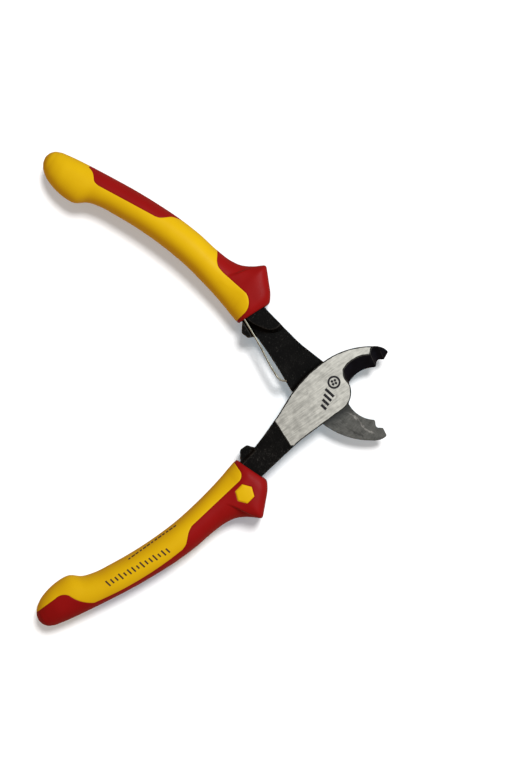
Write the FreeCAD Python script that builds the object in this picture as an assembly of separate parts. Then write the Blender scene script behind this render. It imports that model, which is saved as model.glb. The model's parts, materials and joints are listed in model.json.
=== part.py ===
import FreeCAD
import Part
import math
import os

# One-hand cable cutter: two identical forged halves on one rivet, an opening leaf
# spring, and a two-colour moulded grip on each handle.
#
# Each half is drawn in its own half frame, in millimetres: the pivot at the origin,
# the jaw towards +X, the handle towards -X, and the shear plane at z = 0. The half's
# own plate lies above that plane, and the other half's plate sweeps the space below.

# Driving dimensions
HALF_OPENING = 36.25        # each half is turned this many degrees from closed
PLATE = 5.5                 # thickness of one ground head plate
SHEAR_RELIEF = 0.02         # each plate stands this far off the shear plane
ARM = 5.0                   # the handle arm reaches this far either side of the plane
NUB_LOW = -4.6              # stop nub, lowest level
NUB_HIGH = 3.0              # stop nub, highest level
SHOULDER_START = (-40.3, -3.9)  # ridge where the arm's top slopes down to the nub
SHOULDER_END = (-50.5, -6.1)
SHOULDER_SLOPE = 1.5        # width of that slope
TONGUE_RAMP = (1.9, 0.25)   # lean of the tongue's end, from its top to the recess floor
RAMP_ROOT = -40.0           # the ramp starts from this part of the tongue on
BEVEL_SHIFT = (0.9, 6.3)    # how far the ground bevel leans over the plate's thickness
RIVET_RADIUS = 5.0
RIVET_HEAD_RADIUS = 6.4
RIVET_HEAD_DEPTH = 1.6
RUNNING_CLEARANCE = 0.04    # radial, between the rivet and the half that turns on it
LEAF_THICKNESS = 0.8
LEAF_LOW = -4.6
LEAF_HIGH = -0.4
LEAF_CHANNEL = 2.0          # width of the slot that the leaf lies in
EYE_INNER = 1.3             # rolled eye at the leaf's fixed end
EYE_OUTER = 2.1
EYE_POCKET = 2.6
ANCHOR = (-62.0, -12.6)     # centre of the leaf's anchor pin
ANCHOR_RADIUS = 1.25
SKIN = 2.2                  # moulded grip skin over the hard inner sleeve
HEX_CENTRE = (-55.4, -16.9)
HEX_RADIUS = 4.55
HEX_TURN = 10.0
HEX_FLOOR = 7.4             # the inlay's underside, above the shear plane
FAR = 40.0                  # reach of the cutting tools, beyond every section

# Grip sections: inner point, outer point and half thickness, from the mouth to the end
MOUTH_TO_GUARD = [
    ((-49.6, -2.4), (-43.7, -18.2), 7.6),
    ((-50.6, -2.4), (-45.7, -21.3), 8.8),
    ((-53.2, -2.9), (-50.1, -25.9), 9.5),
    ((-56.5, -3.7), (-55.5, -31.2), 9.7),
]
GUARD_TO_NECK = [
    ((-56.5, -3.7), (-55.5, -31.2), 9.7),
    ((-59.5, -4.5), (-60.1, -27.1), 9.3),
    ((-63.5, -5.4), (-64.6, -24.3), 9.1),
    ((-68.0, -6.3), (-69.0, -23.2), 9.2),
]
NECK_TO_END = [
    ((-68.0, -6.3), (-69.0, -23.2), 9.2),
    ((-77.0, -7.8), (-77.5, -23.1), 9.8),
    ((-88.0, -9.1), (-88.0, -24.1), 10.3),
    ((-100.0, -9.5), (-100.0, -24.3), 10.5),
    ((-112.0, -9.1), (-112.0, -23.6), 10.4),
    ((-124.0, -7.9), (-124.0, -22.4), 10.0),
    ((-133.0, -6.5), (-134.5, -20.9), 9.6),
    ((-138.5, -4.5), (-141.5, -19.8), 9.4),
    ((-143.0, -0.9), (-147.5, -18.8), 9.4),
    ((-149.0, -0.1), (-153.0, -17.8), 9.0),
    ((-156.0, -1.0), (-158.0, -16.7), 8.1),
    ((-161.0, -2.9), (-162.0, -15.5), 6.4),
    ((-164.3, -5.6), (-164.7, -13.8), 4.3),
    ((-166.0, -8.6), (-166.0, -11.4), 1.5),
]
SLEEVE_STATIONS = 12        # the inner sleeve follows the first sections of the neck run
SECTION_POINTS = 16
SECTION_POWER = 2.2        # roundness of a section: 2 is an ellipse, more is squarer


def chain(start, steps):
    """Closed outline: a step of one point is a line, two an arc, more a smooth curve."""
    first = FreeCAD.Vector(*start, 0)
    here = first
    edges = []
    for step in steps:
        points = [FreeCAD.Vector(x, y, 0) for x, y in step]
        if len(points) == 1:
            edges.append(Part.makeLine(here, points[0]))
        elif len(points) == 2:
            edges.append(Part.Arc(here, points[0], points[1]).toShape())
        else:
            curve = Part.BSplineCurve()
            curve.interpolate([here] + points)
            edges.append(curve.toShape())
        here = points[-1]
    edges.append(Part.makeLine(here, first))
    return Part.Wire(edges)


def prism(outline, low, high):
    """Solid between two levels over a flat outline."""
    face = Part.Face(outline)
    face.translate(FreeCAD.Vector(0, 0, low))
    return face.extrude(FreeCAD.Vector(0, 0, high - low))


def cylinder(radius, low, high, at=(0, 0)):
    return Part.makeCylinder(radius, high - low, FreeCAD.Vector(at[0], at[1], low))


# --- The forged half -------------------------------------------------------------

ARM_INNER_EDGE = [((-27.0, 1.6), (-15.0, 6.4))]
JAW_BACK = [
    ((-3.0, 10.1), (9.0, 11.2)),
    ((22.0, 8.9), (33.0, 2.4)),
    ((34.7, 0.4), (35.5, -1.8)),
]
CUTTING_EDGE = [
    ((35.3, -2.5),),
    ((32.0, -4.1),),
    ((30.7, -3.3),),
    ((29.4, -2.75), (28.3, -3.4)),
    ((27.1, -4.55),),
    ((26.3, -4.5),),
    ((18.5, -2.15), (12.9, -3.4)),
    ((12.2, -4.7),),
]
HEAD_ROUND = [((9.9, -8.6), (4.5, -11.5)), ((-20.0, -11.9),)]
TANG = [
    ((-52.0, -16.6), (-60.0, -18.2)),
    ((-78.0, -19.6), (-100.0, -19.4)),
    ((-128.0, -16.8), (-150.0, -13.6)),
    ((-151.8, -11.6), (-150.0, -9.8)),
    ((-128.0, -11.6), (-100.0, -13.2)),
    ((-78.0, -11.8), (-60.0, -8.4)),
]


def plate_outline():
    """The half seen from above, from the nub round the jaw to the tang and back."""
    start = (-39.2, -2.4)
    arm_outer = [((-33.0, -13.5), (-45.2, -15.3))]
    back_to_nub = [((-50.0, -4.6),), ((-48.0, -3.4),)]
    steps = ARM_INNER_EDGE + JAW_BACK + CUTTING_EDGE + HEAD_ROUND + arm_outer + TANG
    return chain(start, steps + back_to_nub)


def tongue_outline():
    """The full-thickness part of the arm and tang; the plate's outline trims its outer side."""
    start = (-33.9, -15.4)
    steps = [((-45.2, -16.8),), ((-45.2, -15.3),)] + TANG
    steps += [((-50.0, -6.0),), ((-44.6, -6.05),), ((-40.3, -6.9), (-36.6, -8.3))]
    steps += [((-34.6, -10.6), (-33.9, -13.4))]
    return chain(start, steps)


def nub_outline():
    """The stop nub, whose flat top meets the other half's when the tool is closed."""
    start = (-39.5, -2.6)
    steps = [((-41.7, -0.1),), ((-42.1, 0.25), (-42.7, 0.4)), ((-45.1, 0.4),)]
    steps += [((-45.8, 0.2), (-46.3, -0.3)), ((-48.4, -3.5),), ((-48.4, -4.4),), ((-39.5, -3.4),)]
    return chain(start, steps)


def shoulder_tool():
    """Wedge that takes the arm's top edge down to the level of the nub."""
    ridge = FreeCAD.Vector(*SHOULDER_START, 0)
    along = FreeCAD.Vector(*SHOULDER_END, 0) - ridge
    across = FreeCAD.Vector(along.y, -along.x, 0).normalize()
    levels = [(0, ARM), (SHOULDER_SLOPE, NUB_HIGH), (FAR / 8, NUB_HIGH), (FAR / 8, ARM + 1), (0, ARM + 1)]
    corners = [ridge + across * reach + FreeCAD.Vector(0, 0, level) for reach, level in levels]
    return Part.Face(Part.makePolygon(corners + corners[:1])).extrude(along)


def ramped_tongue():
    """Tongue and tang below the shear plane, with a ramp down to the recess floor."""
    block = prism(tongue_outline(), -ARM, SHEAR_RELIEF)
    nose_area = Part.makePlane(FAR, 2 * FAR, FreeCAD.Vector(RAMP_ROOT, -FAR, 0))
    nose = Part.Face(tongue_outline()).common(nose_area).Faces[0]
    nose.translate(FreeCAD.Vector(0, 0, -ARM))
    ramp = nose.extrude(FreeCAD.Vector(*TONGUE_RAMP, ARM + SHEAR_RELIEF))
    return block.fuse(ramp).common(prism(plate_outline(), -ARM, SHEAR_RELIEF))


def ground_pad_outline():
    """The ground face of the head, which ends in a step across the arm."""
    start = (-24.4, FAR)
    steps = [((-24.4, 3.2),), ((-25.2, 2.7), (-25.4, 1.8)), ((-26.0, -10.6),)]
    steps += [((-25.8, -11.5), (-24.9, -12.0)), ((-24.4, -FAR),), ((FAR, -FAR),), ((FAR, FAR),)]
    return chain(start, steps)


def bevel_tool():
    """Slanted prism under the cutting edge: it grinds the jaw's outer face back."""
    start = (35.3, -2.5)
    steps = CUTTING_EDGE[1:]
    steps += [((11.4, -6.5),), ((11.2, -FAR),), ((FAR, -FAR),), ((FAR, -0.2),)]
    overrun = 1.2
    lean = FreeCAD.Vector(BEVEL_SHIFT[0], BEVEL_SHIFT[1], PLATE) * overrun
    return Part.Face(chain(start, steps)).extrude(lean)


def leaf_path():
    """Centreline of the leaf: out of its eye, along the slot and over the arm."""
    route = [(-60.9, -10.9), (-56.5, -8.7), (-52.0, -6.75), (-48.0, -5.1), (-45.0, -3.9)]
    route += [(-41.0, -2.3), (-35.0, 0.25), (-29.0, 3.15), (-23.0, 5.7)]
    route += [(-19.4, 6.75), (-17.6, 6.4), (-16.2, 5.5)]
    curve = Part.BSplineCurve()
    curve.interpolate([FreeCAD.Vector(x, y, 0) for x, y in route])
    return curve


def strip(curve, width, low, high):
    """Flat band of a given width that follows a curve in the plane."""
    start = curve.value(curve.FirstParameter)
    along = FreeCAD.Vector(*curve.tangent(curve.FirstParameter)[0])
    across = FreeCAD.Vector(-along.y, along.x, 0) * (width / 2)
    corners = [start + across, start - across]
    ring = [corners[0] + FreeCAD.Vector(0, 0, low), corners[1] + FreeCAD.Vector(0, 0, low)]
    ring += [corners[1] + FreeCAD.Vector(0, 0, high), corners[0] + FreeCAD.Vector(0, 0, high)]
    sweep = Part.BRepOffsetAPI.MakePipeShell(Part.Wire([curve.toShape()]))
    sweep.setBiNormalMode(FreeCAD.Vector(0, 0, 1))
    sweep.add(Part.makePolygon(ring + ring[:1]))
    sweep.build()
    sweep.makeSolid()
    return sweep.shape()


def leaf_slot():
    """Forged channel that the leaf lies in, from past the nub into the grip."""
    curve = leaf_path()
    past_nub = curve.parameter(FreeCAD.Vector(-38.0, -1.1, 0))
    inside = curve.copy()
    inside.segment(curve.FirstParameter, past_nub)
    return strip(inside, LEAF_CHANNEL, -ARM - 0.6, 0)


def leaf_seat():
    """Pocket for the leaf's eye, and the hole for its pin: drilled in one half only."""
    pocket = cylinder(EYE_POCKET, -ARM - 0.6, 0, ANCHOR)
    return pocket.fuse(cylinder(ANCHOR_RADIUS, -ARM, ARM, ANCHOR))


def forged_half():
    """The forging that both halves are made from, before the rivet's hole."""
    plate = prism(plate_outline(), SHEAR_RELIEF, ARM).cut(shoulder_tool())
    pad = prism(plate_outline(), ARM, PLATE).common(prism(ground_pad_outline(), ARM, PLATE))
    nub = prism(nub_outline(), NUB_LOW, NUB_HIGH)
    half = plate.fuse([pad, ramped_tongue(), nub]).removeSplitter()
    return half.cut([bevel_tool(), leaf_slot()])


def rivet_hole(bore_radius):
    """Through hole with a countersink in the half's outer face."""
    grow = bore_radius - RIVET_RADIUS
    sink = Part.makeCone(
        bore_radius,
        RIVET_HEAD_RADIUS + grow,
        RIVET_HEAD_DEPTH,
        FreeCAD.Vector(0, 0, PLATE - RIVET_HEAD_DEPTH),
    )
    return sink.fuse(cylinder(bore_radius, -1, PLATE + 1))


# --- Pivot and spring ------------------------------------------------------------

def pivot_rivet():
    """Shank with a countersunk head at each end, both ground flush with the plates."""
    shank = cylinder(RIVET_RADIUS, -PLATE, PLATE)
    up = FreeCAD.Vector(0, 0, 1)
    heads = []
    for side in (1, -1):
        foot = FreeCAD.Vector(0, 0, side * (PLATE - RIVET_HEAD_DEPTH))
        heads.append(Part.makeCone(RIVET_RADIUS, RIVET_HEAD_RADIUS, RIVET_HEAD_DEPTH, foot, up * side))
    return shank.fuse(heads).removeSplitter()


def opening_spring():
    """Spring leaf with a rolled eye at its fixed end and a curled tip."""
    band = strip(leaf_path(), LEAF_THICKNESS, LEAF_LOW, LEAF_HIGH)
    eye = cylinder(EYE_OUTER, LEAF_LOW, LEAF_HIGH, ANCHOR)
    hole = cylinder(EYE_INNER, LEAF_LOW - 1, LEAF_HIGH + 1, ANCHOR)
    return band.fuse(eye).cut(hole).removeSplitter()


def anchor_pin():
    return cylinder(ANCHOR_RADIUS, -ARM, ARM, ANCHOR)


# --- Moulded grip ----------------------------------------------------------------

def section(inner, outer, half_thickness, inset=0.0):
    """Rounded section standing on the chord from the grip's inner to its outer edge."""
    inner = FreeCAD.Vector(*inner, 0)
    outer = FreeCAD.Vector(*outer, 0)
    centre = (inner + outer) * 0.5
    chord = outer - inner
    width = chord.Length / 2 - inset
    height = half_thickness - inset
    chord.normalize()
    up = FreeCAD.Vector(0, 0, 1)
    points = []
    for k in range(SECTION_POINTS):
        turn = 2 * math.pi * k / SECTION_POINTS
        across = math.copysign(abs(math.cos(turn)) ** (2 / SECTION_POWER), math.cos(turn))
        rise = math.copysign(abs(math.sin(turn)) ** (2 / SECTION_POWER), math.sin(turn))
        points.append(centre + chord * (across * width) + up * (rise * height))
    curve = Part.BSplineCurve()
    curve.interpolate(points, PeriodicFlag=True)
    return Part.Wire([curve.toShape()])


def loft(stations, inset=0.0):
    return Part.makeLoft([section(*station, inset) for station in stations], True, False)


def grip_form():
    runs = [loft(run) for run in (MOUTH_TO_GUARD, GUARD_TO_NECK, NECK_TO_END)]
    return runs[0].fuse(runs[1:]).removeSplitter()


def sleeve_form():
    return loft(NECK_TO_END[:SLEEVE_STATIONS], SKIN)


def front_yellow_zone():
    """Yellow area of the face on the plate's side: the inner edge and the palm."""
    start = (-51.3, FAR)
    steps = [((-51.2, -6.5),), ((-51.9, -9.3), (-54.0, -10.7)), ((-83.5, -14.8),)]
    steps += [((-86.0, -16.2), (-88.5, -18.5), (-90.5, -20.3), (-93.0, -21.3))]
    steps += [((-105.0, -21.7), (-140.0, -17.8)), ((-144.2, -13.8), (-147.0, -8.5))]
    steps += [((-149.2, -6.4), (-153.0, -5.8)), ((-175.0, -6.2),), ((-175.0, FAR),)]
    return chain(start, steps)


def back_red_window():
    """Red area near the end of the other face."""
    start = (-147.0, -18.0)
    steps = [((-144.0, -17.1), (-142.0, -15.5), (-140.6, -14.1), (-138.0, -13.6))]
    steps += [((-109.0, -18.0),), ((-107.0, -18.7), (-105.0, -20.5), (-103.0, -22.6), (-99.0, -24.2))]
    steps += [((-97.0, -FAR),), ((-147.0, -FAR),)]
    return chain(start, steps)


def back_red_guard():
    """Red guard of the other face, with the band round the mouth."""
    start = (-78.0, -FAR)
    steps = [((-78.0, -23.8),), ((-76.0, -21.4), (-74.3, -18.9), (-72.5, -17.3), (-69.0, -16.3))]
    steps += [((-55.0, -15.1),), ((-51.5, -12.6), (-50.0, -8.0)), ((-51.0, -2.2),)]
    steps += [((-51.0, FAR),), ((-40.0, FAR),), ((-40.0, -FAR),)]
    return chain(start, steps)


def hex_prism():
    corners = []
    for k in range(6):
        turn = math.radians(HEX_TURN + 60 * k)
        x = HEX_CENTRE[0] + HEX_RADIUS * math.cos(turn)
        y = HEX_CENTRE[1] + HEX_RADIUS * math.sin(turn)
        corners.append(FreeCAD.Vector(x, y, 0))
    return prism(Part.makePolygon(corners + corners[:1]), HEX_FLOOR, FAR)


def grip_pieces():
    """Hard sleeve, yellow panel, red shell and hexagonal inlay of one handle."""
    outer = grip_form()
    tang_space = prism(plate_outline(), -ARM, ARM).fuse([leaf_slot(), leaf_seat()])
    sleeve = sleeve_form()
    skin = outer.cut([sleeve, tang_space])
    back = Part.makeBox(160, 2 * FAR, FAR, FreeCAD.Vector(-180, -FAR, -FAR))
    back = back.cut([prism(back_red_window(), -FAR, 0), prism(back_red_guard(), -FAR, 0)])
    yellow_space = prism(front_yellow_zone(), 0, FAR).fuse(back)
    inlay_space = hex_prism()
    return {
        "grip_inner_sleeve": sleeve.cut(tang_space),
        "grip_yellow_panel": skin.common(yellow_space),
        "grip_red_shell": skin.cut([yellow_space, inlay_space]),
        "grip_hex_inlay": outer.common(inlay_space),
    }


# --- Assembly --------------------------------------------------------------------

def place_front(shape):
    """Front half: its plate on top, turned open about the pivot."""
    placed = shape.copy()
    placed.rotate(FreeCAD.Vector(), FreeCAD.Vector(0, 0, 1), HALF_OPENING)
    placed.translate(FreeCAD.Vector(0, 0, PLATE))
    return placed


def place_rear(shape):
    """Rear half: the same shape turned over, and opened the other way."""
    placed = shape.copy()
    placed.rotate(FreeCAD.Vector(), FreeCAD.Vector(1, 0, 0), 180)
    placed.rotate(FreeCAD.Vector(), FreeCAD.Vector(0, 0, 1), -HALF_OPENING)
    placed.translate(FreeCAD.Vector(0, 0, PLATE))
    return placed


def save(name, shape):
    solids = shape.Solids
    if len(solids) != 1 or not shape.isValid():
        print("check", name, "solids", [round(s.Volume, 3) for s in solids], shape.isValid())
    solids[0].exportStep("parts/" + name + ".step")
    print(name, round(solids[0].Volume, 1))


def main():
    os.makedirs("parts", exist_ok=True)
    front = forged_half().cut(rivet_hole(RIVET_RADIUS))
    rear = forged_half().cut([rivet_hole(RIVET_RADIUS + RUNNING_CLEARANCE), leaf_seat()])
    save("front_blade_half", place_front(front))
    save("rear_blade_half", place_rear(rear))
    save("pivot_rivet", place_front(pivot_rivet()))
    save("opening_spring", place_rear(opening_spring()))
    save("spring_anchor_pin", place_rear(anchor_pin()))
    for name, shape in grip_pieces().items():
        save("front_" + name, place_front(shape))
        save("rear_" + name, place_rear(shape))


main()
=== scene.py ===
import functools
import json
import math

import bmesh
import bpy
import numpy as np
from mathutils import Matrix, Vector
from mathutils.bvhtree import BVHTree


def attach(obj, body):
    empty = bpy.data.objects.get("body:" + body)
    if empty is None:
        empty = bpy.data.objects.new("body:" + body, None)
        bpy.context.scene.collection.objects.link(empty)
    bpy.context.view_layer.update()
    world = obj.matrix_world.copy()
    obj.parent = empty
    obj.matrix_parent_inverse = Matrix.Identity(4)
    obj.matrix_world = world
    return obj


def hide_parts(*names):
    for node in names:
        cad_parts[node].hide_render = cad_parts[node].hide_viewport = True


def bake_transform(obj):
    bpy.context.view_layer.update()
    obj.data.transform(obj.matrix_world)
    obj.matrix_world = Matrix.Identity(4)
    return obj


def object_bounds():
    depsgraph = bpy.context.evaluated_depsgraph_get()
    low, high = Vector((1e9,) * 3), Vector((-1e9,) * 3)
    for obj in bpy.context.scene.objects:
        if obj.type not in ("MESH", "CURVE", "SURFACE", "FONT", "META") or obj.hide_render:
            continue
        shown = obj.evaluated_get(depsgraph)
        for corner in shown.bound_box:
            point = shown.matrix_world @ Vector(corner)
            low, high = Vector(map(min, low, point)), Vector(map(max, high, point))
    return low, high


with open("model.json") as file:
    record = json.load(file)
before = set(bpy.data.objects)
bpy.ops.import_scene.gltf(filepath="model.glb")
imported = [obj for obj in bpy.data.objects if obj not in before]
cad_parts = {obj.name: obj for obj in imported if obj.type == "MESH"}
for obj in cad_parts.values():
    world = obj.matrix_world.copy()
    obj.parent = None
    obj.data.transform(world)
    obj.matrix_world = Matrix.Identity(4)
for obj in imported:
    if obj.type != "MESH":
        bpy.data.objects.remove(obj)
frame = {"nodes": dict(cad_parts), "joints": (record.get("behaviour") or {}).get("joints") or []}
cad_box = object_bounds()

# One-hand cable cutter, looks only: two identical halves around one rivet.
#
# Everything that belongs to a half is drawn in its half frame, in millimetres: the
# pivot at the origin, the jaw towards +X, the handle towards -X, the shear plane at
# z = 0 and the half's own plate above it. place() takes it to the row frame.

MM = 0.001
PIVOT = Vector(frame["joints"][0]["pos_m"])
HALF_OPENING = math.radians(36.25)      # half of the angle between the open halves
PLATE = 5.5                 # thickness of one ground head plate
LEAF_THICKNESS = 0.8
LEAF_LOW = -4.6
LEAF_HIGH = -0.4
ANCHOR = (-62.0, -12.6)     # centre of the leaf's anchor pin
EYE_RADIUS = 1.7            # centreline of the leaf's rolled eye
RIVET_HEAD_RADIUS = 6.4
GRINDING_END = -8.5         # the shear face is ground from here to the jaw
MOUTH_X = -50.5             # the bare arm runs from the grip's mouth to the head's ground face
HEAD_X = -26.3

OVER = Matrix.Rotation(math.pi, 4, "X")
TO_ROW = {
    body: Matrix.Translation(PIVOT) @ Matrix.Rotation(opening, 4, "Z") @ turned @ Matrix.Scale(MM, 4)
    for body, opening, turned in (
        ("front", HALF_OPENING, Matrix.Identity(4)),
        ("rear", -HALF_OPENING, OVER),
    )
}


# --- Curves and fields in the half frame ---

def spline(knots, values, at):
    """Smooth curve through values at knots, in cubic pieces."""
    knots = np.asarray(knots, float)
    values = np.asarray(values, float)
    slopes = np.gradient(values, knots, axis=0)
    piece = np.clip(np.searchsorted(knots, at) - 1, 0, len(knots) - 2)
    width = knots[piece + 1] - knots[piece]
    t = (at - knots[piece]) / width
    if values.ndim > 1:
        t, width = t[:, None], width[:, None]
    near = (1 + 2 * t) * (1 - t) ** 2 * values[piece] + t * (1 - t) ** 2 * width * slopes[piece]
    far = t * t * (3 - 2 * t) * values[piece + 1] - t * t * (1 - t) * width * slopes[piece + 1]
    return near + far


def lengths_along(points):
    """Distance along a line of points, from its first."""
    steps = np.linalg.norm(np.diff(points, axis=0), axis=1)
    return np.concatenate([[0], np.cumsum(steps)])


def curve_through(points, count):
    points = np.asarray(points, float)
    knots = lengths_along(points)
    return spline(knots, points, np.linspace(0, knots[-1], count))


def arc_through(first, middle, last, count=14):
    a, b, c = (complex(*p) for p in (first, middle, last))
    w = (c - a) / (b - a)
    centre = (b - a) * (w - abs(w) ** 2) / (2j * w.imag) - (-a)
    start = np.angle(a - centre)
    turn = np.angle((c - centre) / (a - centre))
    half = np.angle((b - centre) / (a - centre))
    if turn * half < 0 or abs(half) > abs(turn):
        turn -= math.copysign(2 * math.pi, turn)
    angles = start + turn * np.linspace(0, 1, count)
    return np.column_stack([
        centre.real + abs(a - centre) * np.cos(angles),
        centre.imag + abs(a - centre) * np.sin(angles),
    ])


def circle(centre, radius, sides, turn=0.0):
    turns = turn + np.arange(sides) * 2 * math.pi / sides
    return np.array(centre) + radius * np.column_stack([np.cos(turns), np.sin(turns)])


def outline(start, steps):
    """Closed outline: a step of one point is a line, two an arc, more a smooth curve."""
    points = [start]
    for step in steps:
        if len(step) == 1:
            points.append(step[0])
        elif len(step) == 2:
            points.extend(arc_through(points[-1], *step)[1:])
        else:
            points.extend(curve_through([points[-1]] + list(step), 6 * len(step))[1:])
    return np.array(points, float)


def depth_inside(points, shape):
    """Distance of each point to a closed outline, positive inside it."""
    nearest = np.full(len(points), 1e9)
    inside = np.zeros(len(points), bool)
    for a, b in zip(shape, np.roll(shape, -1, axis=0)):
        along = b - a
        t = np.clip((points - a) @ along / max(along @ along, 1e-12), 0, 1)
        nearest = np.minimum(nearest, np.linalg.norm(points - a - t[:, None] * along, axis=1))
        crosses = (a[1] > points[:, 1]) != (b[1] > points[:, 1])
        with np.errstate(divide="ignore", invalid="ignore"):
            at_x = a[0] + (points[:, 1] - a[1]) * along[0] / along[1]
        inside ^= crosses & (points[:, 0] < at_x)
    return np.where(inside, nearest, -nearest)


def ramp(low, high, value):
    """0 below low, 1 above high, smooth between."""
    t = np.clip((value - low) / (high - low), 0, 1)
    return t * t * (3 - 2 * t)


# --- Mesh helpers ---

def place(name, body, points, faces, materials, face_material=None, smooth=True):
    """New piece from half-frame points; the shaders read those from half_mm."""
    mesh = bpy.data.meshes.new(name)
    at_rest = np.asarray(points, float)
    to_row = np.array(TO_ROW[body])
    moved = at_rest @ to_row[:3, :3].T + to_row[:3, 3]
    mesh.from_pydata(moved.tolist(), [], [list(map(int, f)) for f in faces])
    half_mm = mesh.attributes.new("half_mm", "FLOAT_VECTOR", "POINT")
    half_mm.data.foreach_set("vector", at_rest.astype(np.float32).ravel())
    for material in materials:
        mesh.materials.append(material)
    if face_material is not None:
        mesh.polygons.foreach_set("material_index", np.asarray(face_material, np.int32))
    mesh.polygons.foreach_set("use_smooth", [smooth] * len(mesh.polygons))
    mesh.update()
    piece = bpy.data.objects.new(name, mesh)
    bpy.context.scene.collection.objects.link(piece)
    return piece


def cut_at(points, faces, data, column, level):
    """Splits triangles along the line where one data column has the given level."""
    values = data[:, column] - level
    values = np.where(np.abs(values) < 0.02, 0.0, values)
    sign = np.sign(values)
    edges = np.sort(np.vstack([faces[:, [0, 1]], faces[:, [1, 2]], faces[:, [2, 0]]]), axis=1)
    edges = np.unique(edges, axis=0)
    edges = edges[sign[edges[:, 0]] * sign[edges[:, 1]] < 0]
    t = (values[edges[:, 0]] / (values[edges[:, 0]] - values[edges[:, 1]]))[:, None]
    new_points = points[edges[:, 0]] * (1 - t) + points[edges[:, 1]] * t
    new_data = data[edges[:, 0]] * (1 - t) + data[edges[:, 1]] * t
    index_of = {(a, b): len(points) + k for k, (a, b) in enumerate(edges.tolist())}
    side = sign[faces]
    crossing = (side.min(axis=1) < 0) & (side.max(axis=1) > 0)
    made = []
    for face in faces[crossing].tolist():
        ring = []
        for a, b in zip(face, face[1:] + face[:1]):
            ring.append(a)
            if (min(a, b), max(a, b)) in index_of:
                ring.append(index_of[min(a, b), max(a, b)])
        is_new = [k for k, v in enumerate(ring) if v >= len(points)]
        turn = is_new[0] if len(is_new) == 1 or is_new[1] - is_new[0] == 2 else is_new[1]
        ring = ring[turn:] + ring[:turn]
        made += [[ring[0], ring[k], ring[k + 1]] for k in range(1, len(ring) - 1)]
    faces = np.vstack([faces[~crossing], np.array(made, int).reshape(-1, 3)])
    return np.vstack([points, new_points]), faces, np.vstack([data, new_data])


def closed_shell(points, faces, cores, keep):
    """Skin with an inner face, drawn towards the cores, and a rim between the two."""
    used, index = np.unique(faces, return_inverse=True)
    faces = index.reshape(-1, 3)
    points, cores = points[used], cores[used]
    directed = np.vstack([faces[:, [0, 1]], faces[:, [1, 2]], faces[:, [2, 0]]])
    there = set(map(tuple, directed.tolist()))
    border = [(a, b) for a, b in there if (b, a) not in there]
    count = len(points)
    rim = [(b, a, a + count, b + count) for a, b in sorted(border)]
    inner = points * keep + cores * (1 - keep)
    all_faces = [tuple(f) for f in faces.tolist()] + rim
    all_faces += [(c + count, b + count, a + count) for a, b, c in faces.tolist()]
    return np.vstack([points, inner]), all_faces


# --- Shader helpers ---

def new_material(name):
    material = bpy.data.materials.new(name)
    material.use_nodes = True
    material.node_tree.nodes.clear()
    return material, material.node_tree


def add(tree, kind, inputs=None, **settings):
    """One shader node. An input is a value, or a socket that is linked to it."""
    node = tree.nodes.new("ShaderNode" + kind)
    for key, value in settings.items():
        setattr(node, key, value)
    for key, value in (inputs or {}).items():
        if isinstance(value, bpy.types.NodeSocket):
            tree.links.new(value, node.inputs[key])
        else:
            node.inputs[key].default_value = value
    return node


def math_node(tree, operation, a, b=0.0):
    return add(tree, "Math", {0: a, 1: b}, operation=operation).outputs[0]


def total(tree, *values):
    return functools.reduce(lambda a, b: math_node(tree, "ADD", a, b), values)


def product(tree, *values):
    return functools.reduce(lambda a, b: math_node(tree, "MULTIPLY", a, b), values)


def weighted_sum(tree, *parts):
    """Sum of values, each times its weight."""
    return total(tree, *[product(tree, value, weight) for value, weight in parts])


def distance_between(tree, a, b):
    return math_node(tree, "ABSOLUTE", math_node(tree, "SUBTRACT", a, b))


def clamped(tree, value):
    return add(tree, "Clamp", {"Value": value}).outputs[0]


def in_half_frame(tree):
    """Half-frame position in millimetres, which the pieces carry with them."""
    return add(tree, "Attribute", attribute_name="half_mm").outputs["Vector"]


def in_row_frame(tree, turn=0.0):
    """Position in millimetres for the CAD nodes, turned about the vertical."""
    here = add(tree, "TexCoord").outputs["Object"]
    settings = {"Vector": here, "Scale": (1 / MM,) * 3, "Rotation": (0, 0, turn)}
    return add(tree, "Mapping", settings).outputs[0]


def noise(tree, where, scale, detail=2.0, stretch=(1, 1, 1), turn=0.0, roughness=0.5):
    """Noise whose scale is in features per millimetre."""
    stretched = add(tree, "Mapping", {"Vector": where, "Scale": stretch, "Rotation": (0, 0, turn)})
    return add(tree, "TexNoise", {
        "Vector": stretched.outputs[0],
        "Scale": scale,
        "Detail": detail,
        "Roughness": roughness,
    }).outputs["Fac"]


def mapped(tree, value, low, high, to_low=0.0, to_high=1.0):
    return add(tree, "MapRange", {
        "Value": value,
        "From Min": low,
        "From Max": high,
        "To Min": to_low,
        "To Max": to_high,
    }).outputs[0]


def mixed(tree, factor, a, b):
    """Colour between a and b."""
    node = add(tree, "Mix", data_type="RGBA")
    for key, value in (("Factor", factor), ("A", a), ("B", b)):
        socket = [s for s in node.inputs if s.name == key and s.enabled][0]
        if isinstance(value, bpy.types.NodeSocket):
            tree.links.new(value, socket)
        else:
            socket.default_value = value
    return [s for s in node.outputs if s.enabled][0]


def finish_surface(material, colour, roughness, height, depth_mm, specular=0.5, metallic=0.0):
    """Principled surface with a bump that is depth_mm high. Returns the material."""
    tree = material.node_tree
    bump = add(tree, "Bump", {"Height": height, "Distance": depth_mm * MM, "Strength": 1.0})
    shader = add(tree, "BsdfPrincipled", {
        "Base Color": colour,
        "Roughness": roughness,
        "Normal": bump.outputs[0],
        "Specular IOR Level": specular,
        "Metallic": metallic,
    })
    tree.links.new(shader.outputs[0], add(tree, "OutputMaterial").inputs[0])
    return material


def grey(value, warmth):
    """Grey with its blue taken down by warmth, and its green by a third of that."""
    return (value, value * (1 - warmth * 0.3), value * (1 - warmth), 1.0)


def steel_grey(value):
    """Grey of bare steel, a touch green and a little warm."""
    return (value, value * 1.012, value * 0.93, 1.0)


# --- Materials ---

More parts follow.
